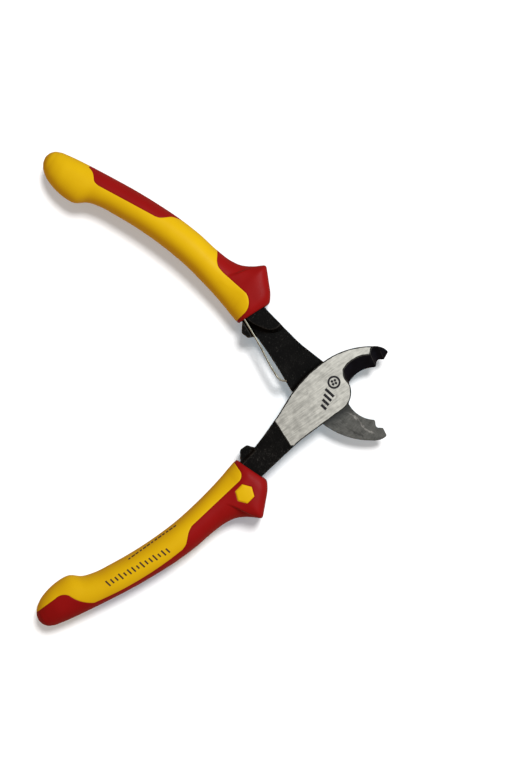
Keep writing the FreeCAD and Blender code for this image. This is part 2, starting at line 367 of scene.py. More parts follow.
def moulded_plastic(name, colour, shade):
    """Matt two-component plastic: fine moulded grain and slightly uneven colour."""
    material, tree = new_material(name)
    here = in_half_frame(tree)
    broad = noise(tree, here, 0.09, 2.0)
    grain = noise(tree, here, 4.5, 3.0)
    pores = noise(tree, here, 1.6, 2.0)
    tone = mapped(tree, broad, 0.3, 0.7, 0.0, 0.45)
    speck = mapped(tree, grain, 0.35, 0.65, -0.12, 0.12)
    seam = add(tree, "Attribute", attribute_name="seam").outputs["Fac"]
    # the groove between two colours is drawn a little darker
    darkening = total(tree, tone, speck, product(tree, seam, 0.3))
    tint = mixed(tree, clamped(tree, darkening), colour, shade)
    roughness = mapped(tree, pores, 0.3, 0.7, 0.44, 0.56)
    height = weighted_sum(tree, (grain, 0.6), (pores, 0.4))
    return finish_surface(material, tint, roughness, height, 0.035, specular=0.1)


def forged_black(name, worn):
    """Black-finished forging: pitted and satin, rubbed brighter where worn is higher."""
    material, tree = new_material(name)
    here = in_half_frame(tree)
    pits = noise(tree, here, 1.7, 4.0, roughness=0.65)
    specks = noise(tree, here, 2.1, 3.0, roughness=0.7)
    broad = noise(tree, here, 0.12, 3.0)
    rubbed = mapped(tree, weighted_sum(tree, (specks, 0.7), (broad, 0.3)), 0.56 - worn, 0.70)
    dark = mixed(tree, mapped(tree, broad, 0.35, 0.65), grey(0.0014, 0.05), grey(0.0030, 0.1))
    satin = mixed(tree, product(tree, rubbed, 0.45 + worn), dark, grey(0.07, 0.12))
    # sparse flecks and short scratches where the finish is knocked off
    flecks = mapped(tree, noise(tree, here, 0.95, 2.0, roughness=0.6), 0.64, 0.76)
    lines = mapped(tree, noise(tree, here, 1.0, 2.0, stretch=(2.6, 0.3, 1.0), turn=0.35), 0.69, 0.75)
    bare = product(tree, math_node(tree, "MAXIMUM", flecks, lines), 0.26)
    tint = mixed(tree, bare, satin, grey(0.13, 0.15))
    roughness = mapped(tree, pits, 0.3, 0.7, 0.42, 0.6)
    return finish_surface(material, tint, roughness, pits, 0.09, specular=0.055)


def brushed_steel(name, here_of, base=0.54):
    """Ground and brushed plate: long streaks along the handle, crossed by fainter ones."""
    material, tree = new_material(name)
    here = here_of(tree)
    streaks = noise(tree, here, 1.0, 4.0, stretch=(0.16, 3.2, 1.0), roughness=0.6)
    bands = noise(tree, here, 1.0, 2.0, stretch=(0.07, 0.8, 1.0))
    cross = noise(tree, here, 1.0, 3.0, stretch=(0.22, 2.1, 1.0), turn=0.45)
    blotch = noise(tree, here, 0.3, 4.0, roughness=0.6)
    marks = weighted_sum(tree, (streaks, 0.32), (bands, 0.10), (cross, 0.22), (blotch, 0.36))
    tone = mapped(tree, marks, 0.4, 0.6)
    # lighter towards the jaw's end
    x = add(tree, "SeparateXYZ", {0: here}).outputs[0]
    towards_jaw = mapped(tree, x, -26.0, 26.0, -0.20, 0.30)
    lightness = clamped(tree, total(tree, tone, towards_jaw))
    tint = mixed(tree, lightness, steel_grey(base * 0.58), steel_grey(base * 1.15))
    roughness = mapped(tree, streaks, 0.3, 0.7, 0.50, 0.64)
    return finish_surface(material, tint, roughness, streaks, 0.02, metallic=0.30, specular=0.3)


RUB_LINE_X = (13.5, 16.0, 29.0, 31.0)   # fades in and out along the jaw
RUB_LINE_Y = 0.4
RUB_LINE_MIDDLE = 22.5
RAGGEDNESS = 1.9
OTHER_EDGE = (0.937, 0.350)             # across the other blade's edge when it is open


def shear_face_steel(name):
    """Ground shear face: dark grey, scratched round the pivot, with one bright rub line."""
    material, tree = new_material(name)
    here = in_half_frame(tree)
    axes = add(tree, "SeparateXYZ", {0: here})
    x, y = axes.outputs[0], axes.outputs[1]
    radius = math_node(tree, "SQRT", total(tree, product(tree, x, x), product(tree, y, y)))
    turn = math_node(tree, "ARCTAN2", y, x)
    polar = add(tree, "CombineXYZ", {0: product(tree, radius, 2.2), 1: product(tree, turn, 3.0)}).outputs[0]
    scratches = noise(tree, polar, 1.6, 4.0, roughness=0.7)
    grind = noise(tree, here, 1.0, 4.0, stretch=(0.5, 2.4, 1.0), turn=0.8, roughness=0.65)
    blotch = noise(tree, here, 0.3, 3.0)
    marks = weighted_sum(tree, (scratches, 0.35), (grind, 0.3), (blotch, 0.35))
    body = mixed(tree, mapped(tree, marks, 0.38, 0.62), steel_grey(0.042), steel_grey(0.135))

    # rub line: a shallow wave along the jaw, level with the other blade's edge
    from_middle = math_node(tree, "SUBTRACT", x, RUB_LINE_MIDDLE)
    sag = product(tree, math_node(tree, "SINE", product(tree, from_middle, 0.42)), 0.75)
    ragged = mapped(tree, noise(tree, here, 0.55, 3.0, roughness=0.65), 0.0, 1.0, -RAGGEDNESS, RAGGEDNESS)
    wander = total(tree, math_node(tree, "SUBTRACT", y, RUB_LINE_Y), ragged)
    on_line = mapped(tree, distance_between(tree, wander, sag), 0.5, 0.08)
    fade_in, full, full_to, gone = RUB_LINE_X
    in_reach = product(tree, mapped(tree, x, fade_in, full), mapped(tree, x, gone, full_to))
    rub = product(tree, on_line, in_reach, mapped(tree, blotch, 0.35, 0.65, 0.15, 0.8))

    # painted shade along the other blade's edge, where its head overhangs the jaw, and a dark vein further
    # out
    from_edge = weighted_sum(tree, (x, OTHER_EDGE[0]), (y, OTHER_EDGE[1]))
    painted_edge_shade = mapped(tree, from_edge, 15.4, 12.4, 0.0, 0.75)
    vein_at = math_node(tree, "SUBTRACT", 8.53, product(tree, x, 0.135))
    off_vein = distance_between(tree, vein_at, total(tree, y, ragged))
    vein = product(tree, mapped(tree, off_vein, 0.45, 0.05, 0.0, 0.6), mapped(tree, x, 17.0, 22.0))

    rubbed = mixed(tree, rub, body, grey(0.34, 0.1))
    tint = mixed(tree, math_node(tree, "MAXIMUM", painted_edge_shade, vein), rubbed, steel_grey(0.012))
    roughness = mapped(tree, grind, 0.3, 0.7, 0.45, 0.62)
    return finish_surface(material, tint, roughness, scratches, 0.03, metallic=0.45, specular=0.4)


def burnished_black(name):
    """Cutting bevels: almost black, with faint grinding marks down the slope."""
    material, tree = new_material(name)
    here = in_half_frame(tree)
    marks = noise(tree, here, 1.0, 3.0, stretch=(3.0, 0.3, 0.3), roughness=0.6)
    broad = noise(tree, here, 0.3, 2.0)
    tone = mapped(tree, broad, 0.3, 0.7)
    tint = mixed(tree, tone, (0.0013, 0.0018, 0.0036, 1), (0.0032, 0.0040, 0.0072, 1))
    roughness = mapped(tree, marks, 0.3, 0.7, 0.3, 0.45)
    return finish_surface(material, tint, roughness, marks, 0.03, specular=0.07)


def spring_steel(name, here_of):
    """Blued spring strip, browned and streaked along its length."""
    material, tree = new_material(name)
    here = here_of(tree)
    streaks = noise(tree, here, 1.0, 3.0, stretch=(0.5, 0.5, 4.0))
    broad = noise(tree, here, 0.25, 3.0)
    tone = mapped(tree, broad, 0.3, 0.7)
    tint = mixed(tree, tone, (0.13, 0.125, 0.095, 1), (0.36, 0.35, 0.28, 1))
    roughness = mapped(tree, streaks, 0.3, 0.7, 0.3, 0.46)
    return finish_surface(material, tint, roughness, streaks, 0.015, metallic=0.7)


def nylon(name):
    """Hard inner sleeve: amber glass-filled nylon."""
    material, tree = new_material(name)
    here = in_row_frame(tree)
    fibres = noise(tree, here, 2.5, 3.0, stretch=(0.3, 1.5, 1.5))
    tone = mapped(tree, fibres, 0.35, 0.65)
    tint = mixed(tree, tone, (0.55, 0.36, 0.02, 1), (0.66, 0.44, 0.03, 1))
    roughness = mapped(tree, fibres, 0.3, 0.7, 0.4, 0.55)
    return finish_surface(material, tint, roughness, fibres, 0.03)


def ink(name, colour):
    """Printed mark, slightly worn through."""
    material, tree = new_material(name)
    here = in_half_frame(tree)
    worn = noise(tree, here, 1.8, 3.0)
    faded = tuple(c * 2.2 for c in colour[:3]) + (1,)
    tint = mixed(tree, mapped(tree, worn, 0.3, 0.75), colour, faded)
    roughness = mapped(tree, worn, 0.3, 0.7, 0.4, 0.6)
    return finish_surface(material, tint, roughness, worn, 0.01, specular=0.2)


YELLOW = moulded_plastic("yellow_plastic", (0.80, 0.510, 0.0040, 1), (0.72, 0.420, 0.0026, 1))
RED = moulded_plastic("red_plastic", (0.312, 0.0050, 0.0052, 1), (0.222, 0.0028, 0.0030, 1))
FORGED = forged_black("forged_black", 0.0)
WORN_EDGE = forged_black("forged_worn_edge", 0.16)
BRUSHED = brushed_steel("brushed_plate", in_half_frame)
# painted shade: the rounded edges of the head's face are drawn near black, as the shaded side walls
SHADED_GROUND_EDGE = brushed_steel("ground_edge_painted_shade", in_half_frame, base=0.05)
SHEAR_FACE = shear_face_steel("shear_face")
BEVEL = burnished_black("cutting_bevel")
RIVET = brushed_steel("rivet_steel", lambda tree: in_row_frame(tree, -HALF_OPENING))
SPRING = spring_steel("spring_strip", in_half_frame)
PIN = spring_steel("pin_steel", in_row_frame)
SLEEVE = nylon("sleeve_nylon")
HEAD_INK = ink("etched_mark", (0.006, 0.006, 0.008, 1))
GRIP_INK = ink("printed_mark", (0.045, 0.022, 0.012, 1))


# --- Forged halves ---

BLADE_FINISHES = [FORGED, WORN_EDGE, BRUSHED, SHEAR_FACE, BEVEL, SHADED_GROUND_EDGE]
AS_FORGED, RUBBED, PLATE_FACE, SHEARING, BEVELLED, GROUND = range(6)
FORGED_ROUND = 0.5          # how far the edges of the arm are rounded
GROUND_ROUND = 0.16         # and the ones that grinding leaves
OUTER_SIDE = 3.0            # rounded edges above this belong to the plate's outer face
BEVELS_X = 10.8             # the cutting bevels lie further out than this
SHARP = math.radians(28)
LEVEL = 0.98                # a level face's normal has at least this much height
# spacing and width of the painted shade line along the head's face
RIM_STEP = 0.35
RIM_WIDTH = 0.34


def clean_forging(body, node):
    """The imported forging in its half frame, without the small triangles of its flats."""
    shape = bmesh.new()
    shape.from_mesh(frame["nodes"][node].data)
    shape.transform(TO_ROW[body].inverted())
    bmesh.ops.remove_doubles(shape, verts=shape.verts, dist=0.003)
    bmesh.ops.dissolve_limit(shape, angle_limit=math.radians(0.6), verts=shape.verts, edges=shape.edges)
    bmesh.ops.dissolve_degenerate(shape, dist=0.02, edges=shape.edges)
    bmesh.ops.recalc_face_normals(shape, faces=shape.faces)
    return shape


def round_edges(shape, is_chosen, width, steps):
    """Rounds the sharp outer edges whose middle is chosen, and returns the new faces."""
    chosen = [
        edge for edge in shape.edges
        if len(edge.link_faces) == 2 and edge.calc_face_angle_signed(0.0) > SHARP
        and is_chosen((edge.verts[0].co + edge.verts[1].co) / 2)
    ]
    result = bmesh.ops.bevel(shape, geom=chosen, offset=width, offset_type="OFFSET", segments=steps,
                             profile=0.5, affect="EDGES", clamp_overlap=False, material=-1)
    return result["faces"]


def on_arm(at):
    return MOUTH_X < at.x < HEAD_X


def on_head(at):
    """On the head, and not on the rim of the rivet's countersink."""
    return at.x > HEAD_X and math.hypot(at.x, at.y) >= RIVET_HEAD_RADIUS + 0.5


def flat_finish(face):
    """Finish of a face that isn't on a rounded edge."""
    middle = face.calc_center_median()
    if face.normal.z > LEVEL and middle.z > PLATE - 0.1:
        return PLATE_FACE
    if face.normal.z < -LEVEL and abs(middle.z) < 0.1:
        return SHEARING
    if middle.x > BEVELS_X and 0.3 < face.normal.z < 0.95:
        return BEVELLED
    return AS_FORGED


def end_grinding(shape):
    """Cuts the shear side where its grinding ends, and leaves the arm's part as forged."""
    ground_flat = [face for face in shape.faces if face.material_index == SHEARING]
    touched = {part for face in ground_flat for part in (*face.verts, *face.edges)}
    bmesh.ops.bisect_plane(shape, geom=ground_flat + list(touched), dist=0.01,
                           plane_co=(GRINDING_END, 0, 0), plane_no=(1, 0.12, 0))
    for face in shape.faces:
        if face.material_index == SHEARING and face.calc_center_median().x < GRINDING_END:
            face.material_index = AS_FORGED


def blade(body, node):
    """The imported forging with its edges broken, and a finish for each kind of face."""
    shape = clean_forging(body, node)
    for face in round_edges(shape, on_arm, FORGED_ROUND, 3):
        face.material_index = RUBBED
    for face in round_edges(shape, on_head, GROUND_ROUND, 2):
        # the head face's rounded edges get the near-black painted shade
        face.material_index = GROUND if face.calc_center_median().z > OUTER_SIDE else RUBBED
    for face in shape.faces:
        if not face.material_index:
            face.material_index = flat_finish(face)
    end_grinding(shape)
    # border of the head's face, which the painted shade line follows
    rim = outer_border([face for face in shape.faces if face.material_index == PLATE_FACE])
    points = np.array([v.co for v in shape.verts])
    shape.verts.index_update()
    faces = [[v.index for v in f.verts] for f in shape.faces]
    finishes = [f.material_index for f in shape.faces]
    shape.free()
    piece = place(body + "_forged_half", body, points, faces, BLADE_FINISHES, finishes)
    piece.data.set_sharp_from_angle(angle=math.radians(38))
    weighted = piece.modifiers.new("flat faces stay flat", "WEIGHTED_NORMAL")
    weighted.keep_sharp = True
    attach(piece, body)
    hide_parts(node)
    painted_rim_shade(body, rim)


def outer_border(faces):
    """Longest loop of edges round a set of faces, as flat points in order."""
    chosen = set(faces)
    neighbours = {}
    for face in faces:
        for edge in face.edges:
            if sum(other in chosen for other in edge.link_faces) == 1:
                a, b = edge.verts
                neighbours.setdefault(a, []).append(b)
                neighbours.setdefault(b, []).append(a)
    loops = []
    unseen = dict.fromkeys(neighbours)
    while unseen:
        here = next(iter(unseen))
        loop = []
        while here is not None:
            loop.append(here.co.xy[:])
            del unseen[here]
            here = next((v for v in neighbours[here] if v in unseen), None)
        loops.append(np.array(loop + loop[:1]))
    return max(loops, key=lambda loop: lengths_along(loop)[-1])


def ring_slab(outer, inner, low, high):
    """Closed ring between two closed lines of as many flat points each."""
    points = []
    for line, level in ((outer, low), (outer, high), (inner, high), (inner, low)):
        points += [(x, y, level) for x, y in line]
    count = len(outer)
    faces = []
    for band in range(4):
        here, there = band * count, (band + 1) % 4 * count
        for k in range(count):
            after = (k + 1) % count
            faces.append([here + k, here + after, there + after, there + k])
    return points, faces


def painted_rim_shade(body, border):
    """Painted shade: a dark line along the edge of the head's face, where its side falls into shade."""
    knots = lengths_along(border)
    at = np.arange(0, knots[-1], RIM_STEP)
    ring = np.column_stack([np.interp(at, knots, border[:, k]) for k in (0, 1)])
    along = np.roll(ring, -2, axis=0) - np.roll(ring, 2, axis=0)
    along /= np.linalg.norm(along, axis=1, keepdims=True)
    x, y = ring.T
    if (x * np.roll(y, -1) - y * np.roll(x, -1)).sum() < 0:
        along = -along
    width = RIM_WIDTH + 0.05 * np.sin(at * 0.9) + 0.04 * np.sin(at * 2.3 + 1.0)
    inner = ring + np.column_stack([-along[:, 1], along[:, 0]]) * width[:, None]
    points, faces = ring_slab(ring, inner, PLATE - 0.02, PLATE + 0.01)
    piece = place(body + "_head_painted_rim_shade", body, points, faces, [FORGED], smooth=False)
    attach(piece, body)


# --- Moulded grips ---

# Inner point, outer point and half thickness of each section, mouth to end
STATIONS = [
    ((-49.6, -2.4), (-43.7, -18.2), 7.6),
    ((-50.6, -2.4), (-45.7, -21.3), 8.8),
    ((-53.2, -2.9), (-50.1, -25.9), 9.5),
    ((-56.5, -3.7), (-55.5, -31.2), 9.7),
    ((-59.5, -4.5), (-60.1, -27.1), 9.3),
    ((-63.5, -5.4), (-64.6, -24.3), 9.1),
    ((-68.0, -6.3), (-69.0, -23.2), 9.2),
    ((-77.0, -7.8), (-77.5, -23.1), 9.8),
    ((-88.0, -9.1), (-88.0, -24.1), 10.3),
    ((-100.0, -9.5), (-100.0, -24.3), 10.47),
    ((-112.0, -9.1), (-112.0, -23.6), 10.4),
    ((-124.0, -7.9), (-124.0, -22.4), 10.0),
    ((-133.0, -6.5), (-134.5, -20.9), 9.6),
    ((-138.5, -4.5), (-141.5, -19.8), 9.4),
    ((-143.0, -0.9), (-147.5, -18.8), 9.4),
    ((-149.0, -0.1), (-153.0, -17.8), 9.0),
    ((-156.0, -1.0), (-158.0, -16.7), 8.1),
    ((-161.0, -2.9), (-162.0, -15.5), 6.4),
    ((-164.3, -5.6), (-164.6, -13.65), 4.3),
    ((-165.45, -7.5), (-165.55, -12.1), 2.5),
    ((-165.95, -9.15), (-165.95, -10.75), 0.9),
]
GUARD = 3                   # the station at the guard's tip
TIP_ROUNDING = 0.8          # spread of the smoothing that rounds the guard's tip
ROW_STEP = 0.62             # spacing of the mesh along the grip
COLUMNS = 132
SEAM_DEPTH = 0.14           # groove where the two colours meet
SEAM_REACH = 0.38
INNER_SKIN = 0.8            # a skin's inner face lies this far out from the grip's core
FAR = 40.0                  # clear of the grip, for outlines that run past its edges

FRONT_CREASE = ((-66.0, -12.5), (-58.3, -26.5))  # crease behind the guard's flat, plate side
BACK_CREASE = ((-66.2, -15.5), (-57.6, -29.5))   # and on the other side
HEX_CENTRE = (-55.4, -16.9)
HEX_RADIUS = 4.55
HEX_TURN = math.radians(10)
HEX_RISE = 0.28
HEX_CHAMFER = 0.75


def front_yellow_zone():
    """Yellow area of the plate's side: the inner edge and the palm."""
    start = (-51.3, FAR)
    steps = [((-51.2, -6.5),), ((-51.9, -9.3), (-54.0, -10.7)), ((-83.5, -14.8),)]
    steps += [((-86.0, -16.2), (-88.5, -18.5), (-90.5, -20.3), (-93.0, -21.3))]
    steps += [((-105.0, -21.7), (-140.0, -17.8)), ((-144.2, -13.8), (-147.0, -8.5))]
    steps += [((-149.2, -6.4), (-153.0, -5.8)), ((-175.0, -6.2),), ((-175.0, FAR),)]
    return outline(start, steps)


def back_red_window():
    """Red area near the end of the other side."""
    start = (-147.0, -18.0)
    steps = [((-144.0, -17.1), (-142.0, -15.5), (-140.6, -14.1), (-138.0, -13.6))]
    steps += [((-109.0, -18.0),), ((-107.0, -18.7), (-105.0, -20.5), (-103.0, -22.6), (-99.0, -24.2))]
    steps += [((-97.0, -FAR),), ((-147.0, -FAR),)]
    return outline(start, steps)


def back_red_guard():
    """Red guard of the other side, with the band round the mouth."""
    start = (-78.0, -FAR)
    steps = [((-78.0, -23.8),), ((-76.0, -21.4), (-74.3, -18.9), (-72.5, -17.3), (-69.0, -16.3))]
    steps += [((-55.0, -15.1),), ((-51.5, -12.6), (-50.0, -8.0)), ((-51.0, -2.2),)]
    steps += [((-51.0, FAR),), ((-40.0, FAR),), ((-40.0, -FAR),)]
    return outline(start, steps)


def zone_field(points):
    """Positive where the grip is yellow and negative where it is red, in millimetres."""
    flat = points[:, :2]
    plate_side = depth_inside(flat, front_yellow_zone())
    other_side = -np.maximum(depth_inside(flat, back_red_window()), depth_inside(flat, back_red_guard()))
    share = ramp(-1.2, 1.2, points[:, 2])
    return plate_side * share + other_side * (1 - share)


def hexagon_field(points):
    """Distance outside the hexagonal inlay on the plate's side."""
    half_side = math.radians(30)
    away = points[:, :2] - np.array(HEX_CENTRE)
    across = away @ circle((0, 0), 1.0, 6, HEX_TURN + half_side).T
    outside = across.max(axis=1) - HEX_RADIUS * math.cos(half_side)
    return np.where(points[:, 2] > 2.0, outside, FAR)


def beyond(points, crease):
    """Signed distance in front of a crease line, towards the jaw."""
    a, b = np.array(crease[0]), np.array(crease[1])
    along = (b - a) / np.linalg.norm(b - a)
    away = points - a
    return -(away[..., 0] * along[1] - away[..., 1] * along[0])


def squareness(spot, flat, rise):
    """Power of the section's curve: boxy on the guard's flats, rounder behind them."""
    outer_half = ramp(-0.35, 0.30, flat)
    soft = ramp(0.0, 0.35, np.abs(rise))
    in_front = np.where(rise > 0, beyond(spot, FRONT_CREASE), beyond(spot, BACK_CREASE))
    guard = ramp(-0.75, 0.75, in_front)
    saddle = (1 - guard) * np.exp(-np.abs(in_front) / 6.0)
    return 2.12 + outer_half * soft * (1.6 * guard - 0.4 * saddle)


class GripForm:
    """Smooth grip surface: sections along a bent centreline."""

    def __init__(self):
        inner, outer, height = (np.array(column) for column in zip(*STATIONS))
        knots = lengths_along((inner + outer) / 2)
        self.length = knots[-1]
        self.at = np.linspace(0, self.length, 2400)
        self.inner = spline(knots, inner, self.at)
        self.height = spline(knots, height, self.at)
        before = spline(knots[:GUARD + 1], outer[:GUARD + 1], self.at)
        after = spline(knots[GUARD:], outer[GUARD:], self.at)
        edge = np.where((self.at < knots[GUARD])[:, None], before, after)
        self.outer = self.rounded(edge, knots[GUARD])

    def rounded(self, edge, tip):
        """Edge with its corner at the guard's tip rounded off."""
        step = self.at[1] - self.at[0]
        reach = np.arange(-4 * TIP_ROUNDING, 4 * TIP_ROUNDING, step)
        weights = np.exp(-(reach / TIP_ROUNDING) ** 2)
        weights /= weights.sum()
        pad = len(reach)
        padded = np.pad(edge, ((pad, pad), (0, 0)), mode="edge")
        soft = np.column_stack([np.convolve(padded[:, k], weights, "same")[pad:-pad] for k in (0, 1)])
        share = np.exp(-((self.at - tip) / (4 * TIP_ROUNDING)) ** 2)[:, None]
        return soft * share + edge * (1 - share)

    def rows(self):
        """Stations spaced evenly along whichever edge moves most."""
        steps = np.maximum.reduce([
            np.linalg.norm(np.diff(self.inner, axis=0), axis=1),
            np.linalg.norm(np.diff(self.outer, axis=0), axis=1),
            np.abs(np.diff(self.height)),
        ])
        travel = np.concatenate([[0], np.cumsum(steps)])
        count = int(travel[-1] / ROW_STEP)
        return np.interp(np.linspace(0, travel[-1], count), travel, self.at)

    def read(self, at, values):
        """One number or one flat point for each place along the grip."""
        if values.ndim == 1:
            return np.interp(at, self.at, values)
        return np.stack([np.interp(at, self.at, column) for column in values.T], -1)

    def point(self, at, turn, inset):
        """Surface points for arrays of places along the grip and turns round it."""
        inner, outer = self.read(at, self.inner), self.read(at, self.outer)
        centre = (inner + outer) / 2
        width = np.linalg.norm(outer - inner, axis=-1)
        chord = (outer - inner) / width[..., None]
        flat, rise = np.cos(turn), np.sin(turn)
        power = squareness(centre + chord * (flat * width / 2)[..., None], flat, rise)
        reach = (np.abs(flat) ** power + np.abs(rise) ** power) ** (-1 / power)
        half = np.maximum(width / 2 - inset, 0.01)
        tall = np.maximum(self.read(at, self.height) - inset, 0.01)
        spot = centre + chord * (reach * flat * half)[..., None]
        return np.concatenate([spot, (reach * rise * tall)[..., None]], -1)

    def core(self, at):
        """Point inside the grip that its inner faces are drawn towards."""
        held = np.clip(at, 5.0, self.length - 5.0)
        middle = self.read(held, (self.inner + self.outer) / 2)
        return np.concatenate([middle, np.zeros_like(held)[..., None]], -1)


def mouth_rows():
    """Place along the grip and inset of each ring of the mouth, from its floor outwards."""
    fillet, rim, recess = 0.8, 2.5, 1.6
    rings = [(recess, 6.0), (recess, 4.0), (recess, rim + 0.25), (recess - 0.15, rim + 0.05)]
    rings += [(0.8, rim), (0.15, rim - 0.02), (0.0, rim - 0.15), (0.0, (rim + fillet) / 2)]
    for k in range(5, 0, -1):
        turn = math.radians(18 * k)
        rings.append((fillet * (1 - math.sin(turn)), fillet * (1 - math.cos(turn))))
    return rings, fillet


def grip_mesh():
    """Points, triangles, cores and zone distances of one whole grip."""
    form = GripForm()
    rings, start = mouth_rows()
    body_rows = form.rows()
    body_rows = np.concatenate([[start], body_rows[body_rows > start + 0.3]])
    at = np.concatenate([[r[0] for r in rings], body_rows])
    inset = np.concatenate([[r[1] for r in rings], np.zeros(len(body_rows))])
    turns = np.linspace(0, 2 * math.pi, COLUMNS, endpoint=False)
    at_grid, turn_grid = np.meshgrid(at, turns, indexing="ij")
    grid = form.point(at_grid, turn_grid, inset[:, None])
    cores = form.core(at_grid)
    count = len(at)

    along = np.gradient(grid, axis=0)
    around = (np.roll(grid, -1, axis=1) - np.roll(grid, 1, axis=1)) / 2
    normal = np.cross(along, around)
    normal /= np.maximum(np.linalg.norm(normal, axis=2, keepdims=True), 1e-9)

    zone = zone_field(grid.reshape(-1, 3)).reshape(grid.shape[:2])
    slope_along = np.gradient(zone, axis=0)
    slope_around = (np.roll(zone, -1, axis=1) - np.roll(zone, 1, axis=1)) / 2
    e, f, g = (along * along).sum(2), (along * around).sum(2), (around * around).sum(2)
    area = np.maximum(e * g - f * f, 1e-9)
    steepness = g * slope_along ** 2 - 2 * f * slope_along * slope_around + e * slope_around ** 2
    distance = zone / np.sqrt(np.maximum(steepness / area, 0.09))
    distance[:len(rings)] = -5.0    # the mouth is red all round

    points = grid.reshape(-1, 3)
    data = np.column_stack([
        distance.ravel(), hexagon_field(points), normal.reshape(-1, 3), cores.reshape(-1, 3),
    ])
    index = np.arange(count * COLUMNS).reshape(count, COLUMNS)
    a, b = index[:-1], np.roll(index[:-1], -1, axis=1)
    c, d = np.roll(index[1:], -1, axis=1), index[1:]
    faces = np.vstack([
        np.column_stack([a.ravel(), b.ravel(), c.ravel()]),
        np.column_stack([a.ravel(), c.ravel(), d.ravel()]),
    ])
    caps = []
    for row, flip in ((0, True), (count - 1, False)):
        pole = len(points)
        points = np.vstack([points, grid[row].mean(axis=0)])
        data = np.vstack([data, data[index[row]].mean(axis=0)])
        ring = np.column_stack([index[row], np.roll(index[row], -1), np.full(COLUMNS, pole)])
        caps.append(ring[:, ::-1] if flip else ring)
    return points, np.vstack([faces] + caps), data


def grip(body):
    """Red shell, yellow panel and hexagonal inlay, each closed, with a seam between."""
    points, faces, data = grip_mesh()
    for level in (0.0, -SEAM_REACH, SEAM_REACH):
        points, faces, data = cut_at(points, faces, data, 0, level)
    for level in (0.0, SEAM_REACH, -SEAM_REACH / 2, -HEX_CHAMFER):
        points, faces, data = cut_at(points, faces, data, 1, level)
    zone, hexagon, normal, cores = data[:, 0], data[:, 1], data[:, 2:5], data[:, 5:8]
    normal = normal / np.maximum(np.linalg.norm(normal, axis=1, keepdims=True), 1e-9)
    to_seam = np.minimum(np.abs(zone), np.abs(hexagon))
    seam = np.clip(1 - (to_seam / SEAM_REACH) ** 2, 0, 1) ** 2
    rise = HEX_RISE * ramp(0.0, HEX_CHAMFER, -hexagon)
    outward = normal if (normal[:, 2] * np.sign(points[:, 2])).mean() > 0 else -normal
    points = points + outward * (rise - SEAM_DEPTH * seam)[:, None]
    if outward is not normal:
        faces = faces[:, ::-1]

    middle_zone = zone[faces].mean(axis=1)
    in_hexagon = hexagon[faces].mean(axis=1) < 0
    groups = {
        "red_shell": (middle_zone < 0) & ~in_hexagon,
        "yellow_panel": (middle_zone >= 0) & ~in_hexagon,
        "hex_inlay": in_hexagon,
    }
    for part, chosen in groups.items():
        picked = faces[chosen]
        shell_points, shell_faces = closed_shell(points, picked, cores, INNER_SKIN)
        material, slot = (RED, "red_plastic") if part == "red_shell" else (YELLOW, "yellow_plastic")
        piece = place(body + "_moulded_" + part, body, shell_points, shell_faces, [material])
        used = np.unique(picked)
        values = np.concatenate([seam[used], np.zeros(len(used))])
        attribute = piece.data.attributes.new("seam", "FLOAT", "POINT")
        attribute.data.foreach_set("value", values.astype(np.float32))
        piece.data.set_sharp_from_angle(angle=math.radians(60))
        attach(piece, body)
        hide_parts(body + "_grip_" + part)
    return points, faces


# --- Opening leaf ---

LEAF_ROUTE = [
    (-60.9, -10.9), (-56.5, -8.7), (-52.0, -6.75), (-48.0, -5.1), (-45.0, -3.9), (-41.0, -2.3),
    (-35.0, 0.25), (-29.0, 3.15), (-23.0, 5.7), (-19.4, 6.75), (-17.6, 6.4), (-16.2, 5.5),
]
LEAF_CORNER = 0.24          # rounding of the strip's edges


def leaf_section():
    """Strip's section, with its four corners rounded: across the strip and up."""
    wide = LEAF_THICKNESS / 2 - LEAF_CORNER
    tall = (LEAF_HIGH - LEAF_LOW) / 2 - LEAF_CORNER
    section = []
    for k, (side, up) in enumerate(((1, 1), (-1, 1), (-1, -1), (1, -1))):
        for step in range(4):
            turn = math.radians(90 * k + 30 * step)
            section.append((side * wide + LEAF_CORNER * math.cos(turn),
                            up * tall + LEAF_CORNER * math.sin(turn)))
    return section


def leaf():
    """Spring strip with a rolled eye, lying between the two halves."""
    joins = math.atan2(LEAF_ROUTE[0][1] - ANCHOR[1], LEAF_ROUTE[0][0] - ANCHOR[0])
    turns = joins + np.linspace(-1.75, -0.05, 30) * math.pi
    eye = np.array(ANCHOR) + EYE_RADIUS * np.column_stack([np.cos(turns), np.sin(turns)])
    line = np.vstack([eye, curve_through(LEAF_ROUTE, 120)])
    along = np.gradient(line, axis=0)
    along /= np.linalg.norm(along, axis=1, keepdims=True)
    across = np.column_stack([-along[:, 1], along[:, 0]])
    section = leaf_section()
    middle = (LEAF_HIGH + LEAF_LOW) / 2
    points = []
    for spot, side in zip(line, across):
        for wide, tall in section:
            points.append((spot[0] + side[0] * wide, spot[1] + side[1] * wide, middle + tall))
    count = len(section)
    faces = []
    for row in range(len(line) - 1):
        for k in range(count):
            a, b = row * count + k, row * count + (k + 1) % count
            faces.append((a, b, b + count, a + count))
    faces.append(tuple(range(count))[::-1])
    faces.append(tuple(range((len(line) - 1) * count, len(line) * count)))
    piece = place("opening_leaf", "rear", points, faces, [SPRING])
    piece.data.set_sharp_from_angle(angle=math.radians(60))
    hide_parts("opening_spring")
    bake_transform(piece)


# --- Marks ---

MARK_THICKNESS = 0.02       # the head's mark goes this far into the plate and out of it
MARK_ENDS = np.array([(9.3, 2.2), (-4.3, -6.3)])
SHEATH_RADII = (3.0, 2.1)
CORE_RADIUS = 0.62
BAR_RISE = 0.025            # the grip's bars stand this far out of it
BAR_THICKNESS = 0.15


def bar(centre, length, width, turn):
    """Corners of a bar that lies at an angle."""
    along = np.array([math.cos(turn), math.sin(turn)]) * length / 2
    across = np.array([-math.sin(turn), math.cos(turn)]) * width / 2
    corners = ((-1, -1), (1, -1), (1, 1), (-1, 1))
    return [np.array(centre) + a * along + b * across for a, b in corners]


